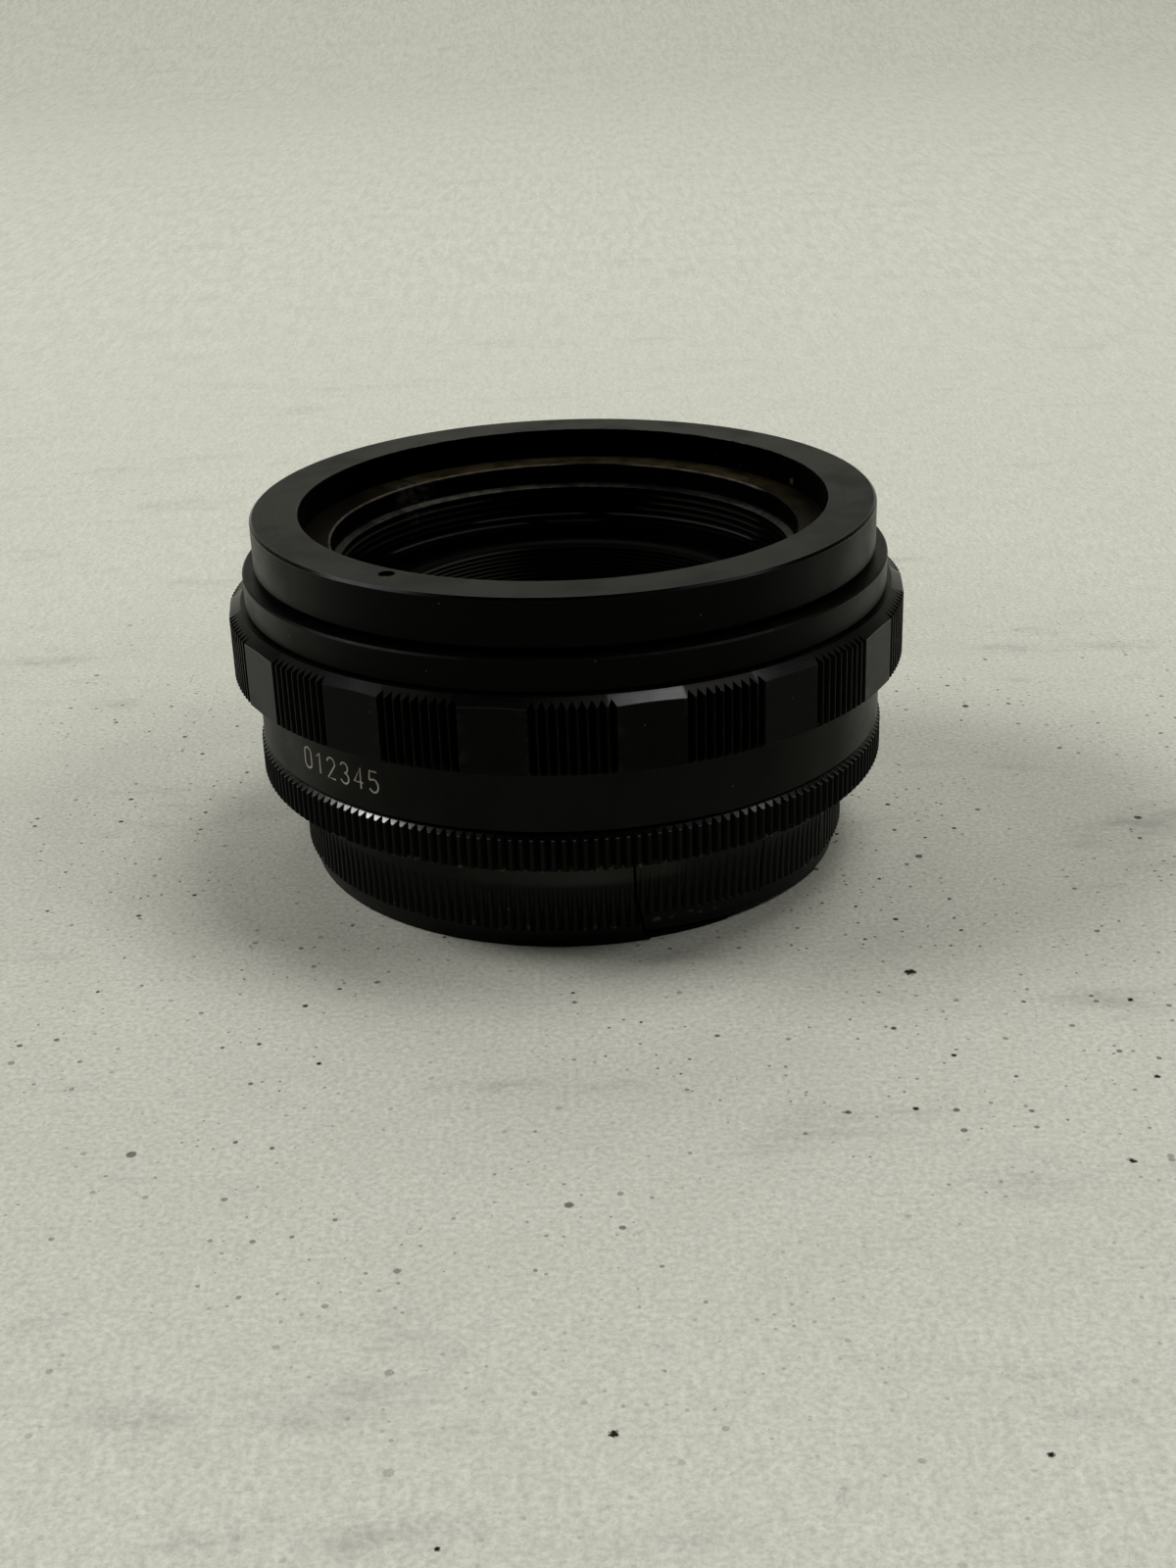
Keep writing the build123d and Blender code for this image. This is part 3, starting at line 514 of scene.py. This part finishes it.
def seat_brass(name, ledge, step):
    """Blackened brass of the seat ring. The ledge has rubbed brown, painted darker in two stretches as painted shade;
    its rim and the thread's crests carry painted highlights, and the step shines.

    The ledge is its inner corner and the step its upper and lower corner, each a radius and a height in mm.
    """
    finish = inner_black(name)
    degrees = finish.maths("MODULO", finish.degrees(), 360.0)
    # Painted shade: the ledge's brown is painted darker in two stretches of angle
    painted_shades = [finish.times(finish.between(degrees, *stretch), change) for *stretch, change in LEDGE_PAINTED_SHADES]
    patches = finish.patches(0.45, 0.34, 0.62, 0.25, detail=5.0, roughness=0.7)
    browned = finish.times(patches, finish.plus(finish.plus(*painted_shades), 1.0))
    finish.blend(finish.ramp(finish.height, ledge[1] - 0.04, ledge[1] - 0.02), LEDGE_BROWN, browned)
    # Painted highlight: the ledge's rim is painted pale at the angles listed
    wear_and_glint = finish.plus(*(finish.between(degrees, *stretch, RIM_SOFT) for stretch in RIM_GLINTS))
    finish.blend(finish.near(ledge, 0.36), LEDGE_RIM_GLINT, finish.times(wear_and_glint, finish.patches(0.25, 0.3, 0.6, 0.4)))
    on_step = finish.along(*step, 0.12)
    sheen = finish.patches(0.18, 0.30, 0.70, 0.35, detail=4.0)
    mottled = finish.patches(1.2, 0.36, 0.62, 0.45, detail=4.0)
    finish.blend(finish.times(on_step, sheen), STEP_METAL, mottled)
    finish.polish(on_step, 1.0)
    (wall_radius, wall_bottom), (crest_radius, _) = step
    # Painted highlights: bright lines on the thread's crests at the angles listed
    for height, first, last, strength in THREAD_GLINTS:
        line = finish.times(finish.fall(finish.off(finish.height, height), 0.07, 0.13),
                            finish.fall(finish.radius, crest_radius + 0.02, crest_radius + 0.08))
        finish.blend(line, CREST_GLINT, finish.times(finish.between(degrees, first, last, THREAD_SOFT), strength))
    angle, size, strength = DUSTY_PATCH
    dusty = finish.times(finish.spot(angle, wall_radius, (ledge[1] + wall_bottom) / 2, size),
                         finish.patches(1.6, 0.35, 0.65, detail=4.0))
    finish.blend(dusty, DUST, strength)
    return finish.done()


def baffle_black(name, bore_radius, top):
    """Ribbed tube: black grooves, a grey-green head, and rib tips with a painted highlight, painted lighter towards
    the -X side.
    """
    finish = inner_black(name, 0.2)
    tips = finish.fall(finish.radius, bore_radius + 0.02, bore_radius + 0.10)
    # Painted highlight: the rib tips are painted lighter, most on the -X side
    finish.blend(tips, BAFFLE_TIPS_PAINTED_LIGHT, finish.ramp(finish.x, -10.0, -2.0, 1.0, 0.10))
    finish.blend(finish.ramp(finish.height, top - 0.22, top - 0.12), BAFFLE_HEAD, 0.8)
    return finish.done()


def cap_plastic(name, rib_radius):
    """Dry moulded plastic with a paler upper band, scuffed pale with a painted sheen at the front, scuffed along its
    ribs, dusty in its grooves and painted darker towards its foot as painted shade.
    """
    finish = Finish(name, PLASTIC_BLACK, roughness=0.42, specular=0.11, metallic=0.12)
    foot, band = CAP_RIBS
    pale = finish.times(finish.ramp(finish.height, band - 0.4, band + 0.6), finish.patches(0.09, 0.35, 0.65, 0.3))
    finish.blend(pale, CAP_PALE)
    # Partly scuffed, partly a painted sheen: the upper band is paler and glossier only at the front
    front_scuff_and_sheen = finish.times(pale, finish.fall(finish.maths("ABSOLUTE", finish.angle), *CAP_SCUFF_SHEEN_ANGLES))
    finish.blend(front_scuff_and_sheen, CAP_SCUFF_AND_SHEEN)
    finish.polish(front_scuff_and_sheen, 0.16)
    finish.polish(pale, 0.10)
    caught = finish.times(finish.between(finish.height, foot, foot + 0.35, 0.25), finish.patches(1.1, 0.58, 0.67))
    finish.blend(caught, DUST, finish.ramp(finish.radius, rib_radius - 1.1, rib_radius - 0.9, 0.0, 0.40))
    grain = finish.noise(finish.place, 5.0)
    finish.raise_by(grain, 0.006)
    finish.roughen(grain, 0.12)
    finish.blend(finish.patches(0.22, 0.45, 0.7, detail=4.0), CAP_PATCH, 0.3)
    tips = finish.ramp(finish.radius, rib_radius - 0.12, rib_radius)
    finish.blend(finish.times(tips, finish.patches(0.7, 0.5, 0.8)), CAP_RIB_SCUFF, 0.22)
    finish.blend(finish.specks(0.7, 0.08), DUST, 0.8)
    # Painted shade: the cap is painted darker and duller towards its foot, where it stands on the floor
    finish.blacken(finish.ramp(finish.height, 0.9, foot - 0.2, 0.45, 0.0))
    return finish.done()


def bright_metal(name, colour, roughness):
    """Bare turned metal of the inner parts, darker and duller where it's stained."""
    finish = Finish(name, colour, roughness, specular=0.5, metallic=1.0)
    turning_marks(finish, 0.002)
    stains = finish.patches(0.4, 0.45, 0.75, detail=4.0)
    finish.roughen(stains, 0.15)
    finish.blend(stains, tuple(0.55 * value for value in colour), 0.4)
    return finish.done()


def enamel(name, colour):
    """Glossy enamel with a faint unevenness."""
    finish = Finish(name, colour, roughness=0.25, specular=0.5)
    finish.raise_by(finish.noise(finish.place, 2.0), 0.01)
    finish.roughen(finish.noise(finish.place, 3.0), 0.1)
    return finish.done()


def engraving_paint(name):
    """Cream paint in the engraving, a little thin and dirty in places."""
    finish = Finish(name, CREAM, roughness=0.6, specular=0.3)
    finish.blend(finish.patches(2.4, 0.48, 0.75), CREAM_WORN, 0.6)
    finish.raise_by(finish.noise(finish.place, 9.0), 0.004)
    return finish.done()


def dress(node, material):
    """Gives a CAD node its material."""
    mesh = frame["nodes"][node].data
    mesh.materials.clear()
    mesh.materials.append(material)


def dress_frame():
    """Materials of all the CAD nodes."""
    dress("front_ring", front_metal("front_ring_black", "front_ring", in_mm(mount_radius("lens_seat"))))
    dress("scale_ring", ring_metal("scale_ring_black", "scale_ring"))
    dress("fixed_barrel", ring_metal("fixed_barrel_black", "fixed_barrel", BARREL_BLACK))
    dress("knurled_flange_ring", knurled_metal("knurled_ring_black", "knurled_flange_ring"))
    dress("focus_grip_ring", grip_metal("grip_black", "focus_grip_ring"))
    dress("rear_cap", cap_plastic("cap_black_plastic", in_mm(outer_radius("rear_cap"))))
    seat_top = in_mm(top_of("lens_seat_ring"))
    thread_radius = in_mm(mount_radius("lens_thread"))
    seat_radius = thread_radius + SEAT_STEP
    step_height = seat_top - SEAT_DEPTH
    step = ((seat_radius, step_height), (thread_radius, step_height - STEP_DROP))
    dress("lens_seat_ring", seat_brass("seat_brown", (seat_radius, seat_top), step))
    dress("light_baffle_tube", baffle_black("baffle_black", BAFFLE_BORE, in_mm(top_of("light_baffle_tube"))))
    dress("helicoid_barrel", inner_black("slide_black").done())
    dress("front_lock_screw", satin_black("lock_screw_black").done())
    dress("guide_sleeve", satin_black("sleeve_black").done())
    dress("mounting_bead", enamel("bead_red", BEAD_RED))
    dress("bayonet_flange", bright_metal("flange_chrome", *CHROME))
    steel = bright_metal("screw_steel", *STEEL)
    for node in frame["nodes"]:
        if node.endswith("_screws") or node == "stop_pin":
            dress(node, steel)
    brass = bright_metal("greased_brass", *BRASS)
    for node in ("guide_keys", "focus_stop_segment", "focusing_nut", "retaining_ring"):
        dress(node, brass)
    bronze = bright_metal("bronze_sheet", *BRONZE)
    for node in ("thrust_washer", "flange_shim"):
        dress(node, bronze)


# Strokes of the numerals in a box one unit wide and two high: straight points, or an arc as
# (centre x, centre y, radius x, radius y, start and end in degrees)
STROKES = {
    "0": [[(0.5, 1.5, 0.5, 0.5, 0, 180), (0.5, 0.5, 0.5, 0.5, 180, 360), (1.0, 1.5)]],
    "1": [[(0.15, 1.55), (0.6, 2.0), (0.6, 0.0)]],
    "2": [[(0.5, 1.5, 0.5, 0.5, 170, -25), (0.0, 0.0), (1.0, 0.0)]],
    "3": [[(0.5, 1.52, 0.44, 0.48, 160, -90), (0.5, 0.52, 0.5, 0.52, 90, -160)]],
    "4": [[(0.75, 0.0), (0.75, 2.0), (0.0, 0.6), (1.0, 0.6)]],
    "5": [[(0.9, 2.0), (0.12, 2.0), (0.06, 1.12), (0.5, 0.62, 0.5, 0.62, 125, -150)]],
}
ARC_STEP = 12.0
SHORTEST_STEP = 1e-4


def stroke_points(stroke):
    """Points along a stroke, its arcs divided evenly."""
    points = []
    for item in stroke:
        if len(item) == 2:
            points.append(Vector(item))
            continue
        x, y, across, along, start, end = item
        count = max(2, int(abs(end - start) / ARC_STEP))
        for i in range(count + 1):
            angle = math.radians(start + (end - start) * i / count)
            points.append(Vector((x + across * math.cos(angle), y + along * math.sin(angle))))
    return [p for i, p in enumerate(points) if i == 0 or (p - points[i - 1]).length > SHORTEST_STEP]


def ribbon_outline(points, half):
    """Left and right edge of a ribbon along some points."""
    left, right = [], []
    for i, point in enumerate(points):
        before = points[max(i - 1, 0)]
        after = points[min(i + 1, len(points) - 1)]
        along = (after - before).normalized()
        side = Vector((-along.y, along.x))
        left.append(point + half * side)
        right.append(point - half * side)
    return left, right


def numeral_mesh(name, digit, first_angle, radius):
    """One numeral as a thin painted inlay that follows the barrel."""
    vertices, faces = [], []

    def on_barrel(point, lift):
        angle = math.radians(first_angle) + point.x / radius
        reach = radius + lift
        return (reach * math.sin(angle), -reach * math.cos(angle), NUMERAL_BASELINE + point.y)

    for stroke in STROKES[digit]:
        points = [Vector((p.x * NUMERAL_WIDTH, p.y * NUMERAL_HEIGHT / 2)) for p in stroke_points(stroke)]
        left, right = ribbon_outline(points, NUMERAL_STROKE / 2)
        start = len(vertices)
        for a, b in zip(left, right):
            for point, lift in ((a, NUMERAL_PAINT_DEPTH), (b, NUMERAL_PAINT_DEPTH), (b, -NUMERAL_PAINT_DEPTH),
                                (a, -NUMERAL_PAINT_DEPTH)):
                vertices.append(on_barrel(point, lift))
        for i in range(len(points) - 1):
            a = start + 4 * i
            b = a + 4
            for j in range(4):
                k = (j + 1) % 4
                faces.append((a + j, a + k, b + k, b + j))
        faces.append((start, start + 3, start + 2, start + 1))
        last = start + 4 * (len(points) - 1)
        faces.append((last, last + 1, last + 2, last + 3))
    mesh = bpy.data.meshes.new(name)
    mesh.from_pydata(vertices, [], faces)
    mesh.update()
    return mesh


def make_numerals():
    """The row of plain numerals on the fixed barrel."""
    paint = engraving_paint("engraving_cream")
    radius = outer_radius("fixed_barrel")
    for i, digit in enumerate(NUMERALS):
        name = f"numeral_{i + 1}"
        mesh = numeral_mesh(name, digit, NUMERAL_FIRST_ANGLE + i * NUMERAL_PITCH_ANGLE, radius)
        mesh.materials.append(paint)
        piece = bpy.data.objects.new(name, mesh)
        bpy.context.scene.collection.objects.link(piece)
        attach(piece, "mount")


# Colours of the paper floor and of the dirt on it
PAPER = (0.690, 0.698, 0.625)
PAPER_GRAIN = (0.44, 0.445, 0.398)
PAPER_LIGHT = (0.80, 0.81, 0.725)
PAPER_CLOUD = (0.43, 0.436, 0.375)
# Painted shadow round the object
PAPER_PAINTED_SHADOW = (0.20, 0.20, 0.175)
PAPER_SMUDGE = (0.20, 0.20, 0.185)
PAPER_HAIR = (0.16, 0.16, 0.15)
DIRT = (0.035, 0.033, 0.026)
FLAKE_BLACK = (0.012, 0.012, 0.010)

# Levels of noise between which a grain of the paper goes from none to full
GRAIN_LEVELS = (0.34, 0.66)

# Grains of the floor further off: scales across and along in 1/mm, the radii in mm between which each comes
# in, and how far it lightens and darkens the paper
FAR_GRAINS = ((0.50, 0.08, 100, 360, 0.30, 0.30), (1.2, 0.35, 45, 110, 0.16, 0.28))
FAR_GRAIN_DARK = (0.34, 0.56)

# Scales of the smudges across and along, in 1/mm
SMUDGE_SCALES = (0.025, 0.07)

# Specks of dirt on the floor: scale in 1/mm, size in cells, share of the cells and strength
FLOOR_SPECKS = ((0.80, 0.16, 0.34, 0.70), (0.35, 0.110, 0.5, 0.95), (0.09, 0.044, 0.5, 1.0))

# Flakes of dirt where the photo shows them: x, y and size in mm, and how far a flake's spot is wider
FLAKES = ((28.2, -31.8, 0.62), (45.5, -37.7, 0.34), (44.6, -49.4, 0.32), (39.9, -60.5, 0.34), (1.6, -87.0, 0.40),
          (29.6, -45.3, 0.28), (25.4, -52.7, 0.30), (-20.9, -43.2, 0.28), (-41.2, -30.3, 0.22), (-8.7, -95.9, 0.24),
          (27.5, -90.1, 0.30))
FLAKE_SPREAD = 1.7

# Shape of the floor, in metres: flat from the front to the start of the sweep, then curved up to the backdrop
FLOOR_FRONT = 6.0
FLOOR_HALF_WIDTH = 6.0
SWEEP_START = 0.7
SWEEP_RADIUS = 0.6
SWEEP_STEPS = 24
BACKDROP_TOP = 2.5


def floor_material():
    """Pale paper with a fine grain, faint smudges, a painted shadow round the object, and specks and flakes of dirt
    round the object.
    """
    finish = Finish("floor_paper", PAPER, roughness=0.9, specular=0.1)
    grain = finish.noise(finish.place, 2.1, roughness=0.65)
    finish.blend(finish.ramp(grain, *GRAIN_LEVELS, 0.0, 0.80, smooth=False), PAPER_GRAIN)
    finish.blend(finish.patches(0.12, 0.38, 0.66, 0.0, 0.10), PAPER_CLOUD)
    pulp = finish.noise(finish.place, 0.35, detail=5.0, roughness=0.78)
    finish.blend(finish.ramp(pulp, *GRAIN_LEVELS, 0.0, 0.15, smooth=False), PAPER_GRAIN)
    for across, along, start, end, light, dark in FAR_GRAINS:
        far_grain = finish.noise(finish.stretched(across, along, across), 1.0, roughness=0.7)
        finish.blend(finish.ramp(far_grain, *GRAIN_LEVELS, smooth=False), PAPER_LIGHT,
                     finish.ramp(finish.radius, start, end, 0.0, light))
        finish.blend(finish.ramp(far_grain, *FAR_GRAIN_DARK, 1.0, 0.0, smooth=False), PAPER_GRAIN,
                     finish.ramp(finish.radius, start, end, 0.0, dark))
    # Painted shadow: the paper is painted darker near the object, fading out by 110 mm
    finish.blend(finish.ramp(finish.radius, 50, 110, 0.14, 0.0), PAPER_PAINTED_SHADOW)
    smudges = finish.noise(finish.stretched(*SMUDGE_SCALES), 1.0, detail=7.0, roughness=0.72)
    finish.blend(finish.ramp(smudges, 0.54, 0.74), PAPER_SMUDGE, finish.ramp(finish.radius, 45, 240, 0.44, 0.16))
    hairs = finish.fall(finish.off(finish.noise(finish.place, 0.11, detail=2.0), 0.5), 0.0, 0.004)
    finish.blend(finish.times(hairs, finish.patches(0.22, 0.58, 0.66)), PAPER_HAIR, 0.30)
    around = finish.ramp(finish.radius, 38, 105, 1.0, 0.25)
    clusters = finish.times(around, finish.patches(0.05, 0.40, 0.56, 0.25))
    for scale, size, share, strength in FLOOR_SPECKS:
        finish.blend(finish.specks(scale, size, share, flat=True), DIRT, finish.times(clusters, strength))
    for x, y, size in FLAKES:
        angle = math.degrees(math.atan2(x, -y))
        finish.blend(finish.spot(angle, math.hypot(x, y), 0.0, FLAKE_SPREAD * size), FLAKE_BLACK)
    finish.raise_by(grain, 0.10)
    return finish.done()


def make_stage():
    """Paper floor that curves up into a backdrop behind the object."""
    profile = [(-FLOOR_FRONT, 0), (0, 0), (SWEEP_START, 0)]
    for i in range(1, SWEEP_STEPS + 1):
        angle = math.pi / 2 * i / SWEEP_STEPS
        profile.append((SWEEP_START + SWEEP_RADIUS * math.sin(angle), SWEEP_RADIUS * (1 - math.cos(angle))))
    profile.append((profile[-1][0], BACKDROP_TOP))
    vertices = [(side * FLOOR_HALF_WIDTH, y, z) for y, z in profile for side in (-1, 1)]
    faces = [(2 * i, 2 * i + 1, 2 * i + 3, 2 * i + 2) for i in range(len(profile) - 1)]
    mesh = bpy.data.meshes.new("floor")
    mesh.from_pydata(vertices, [], faces)
    mesh.shade_smooth()
    mesh.materials.append(floor_material())
    floor = bpy.data.objects.new("floor", mesh)
    bpy.context.scene.collection.objects.link(floor)


# Point that the lamps face, in metres. Lamps: azimuth from the front towards +X and elevation in degrees,
# distance, width and depth in metres, power in watts
LIGHT_CENTRE = Vector((0, 0, 0.02))
LAMP_COLOUR = (1.0, 0.985, 0.95)
LAMPS = {
    "lamp_left": (-95, 44, 1.4, 0.58, 0.44, 9.7),
    "lamp_right": (79, 46, 1.5, 0.62, 0.40, 5.2),
    "lamp_overhead": (118, 71, 1.3, 0.48, 0.48, 6.6),
    "lamp_back": (-175, 52, 1.5, 0.9, 0.4, 3.4),
}
WORLD_COLOUR = (0.93, 0.94, 0.90, 1)
WORLD_LEVEL = 0.02


def area_light(name, azimuth, elevation, distance, width, depth, power):
    """A soft rectangular lamp that faces the object."""
    data = bpy.data.lights.new(name, "AREA")
    data.shape = "RECTANGLE"
    data.size = width
    data.size_y = depth
    data.energy = power
    data.color = LAMP_COLOUR
    lamp = bpy.data.objects.new(name, data)
    a, e = math.radians(azimuth), math.radians(elevation)
    direction = Vector((math.sin(a) * math.cos(e), -math.cos(a) * math.cos(e), math.sin(e)))
    lamp.location = LIGHT_CENTRE + distance * direction
    lamp.rotation_euler = direction.to_track_quat("Z", "Y").to_euler()
    bpy.context.scene.collection.objects.link(lamp)


def make_lights():
    """The lamps, in a dim world."""
    for name, lamp in LAMPS.items():
        area_light(name, *lamp)
    world = bpy.data.worlds.new("world")
    world.use_nodes = True
    background = world.node_tree.nodes["Background"]
    background.inputs["Color"].default_value = WORLD_COLOUR
    background.inputs["Strength"].default_value = WORLD_LEVEL
    bpy.context.scene.world = world


def make_camera():
    """The fitted camera: the rows of its rotation are its right, down and forward directions."""
    right = Vector((1, 0, 0))
    forward = Vector((0, math.cos(CAMERA_ELEVATION), -math.sin(CAMERA_ELEVATION)))
    down = forward.cross(right)
    turned_right = math.cos(CAMERA_ROLL) * right + math.sin(CAMERA_ROLL) * down
    turned_down = -math.sin(CAMERA_ROLL) * right + math.cos(CAMERA_ROLL) * down
    offset = CAMERA_OFFSET * outer_radius("front_ring")
    centre = -(offset.x * turned_right + offset.y * turned_down + offset.z * forward)
    data = bpy.data.cameras.new("camera")
    data.lens = CAMERA_LENS
    data.clip_start, data.clip_end = CAMERA_CLIP
    camera = bpy.data.objects.new("camera", data)
    axes = Matrix((turned_right, -turned_down, -forward)).transposed()
    camera.matrix_world = Matrix.Translation(centre) @ axes.to_4x4()
    bpy.context.scene.collection.objects.link(camera)
    bpy.context.scene.camera = camera


make_camera()
make_lights()
make_stage()
dress_frame()
make_numerals()
bpy.context.scene.view_settings.view_transform = "Standard"
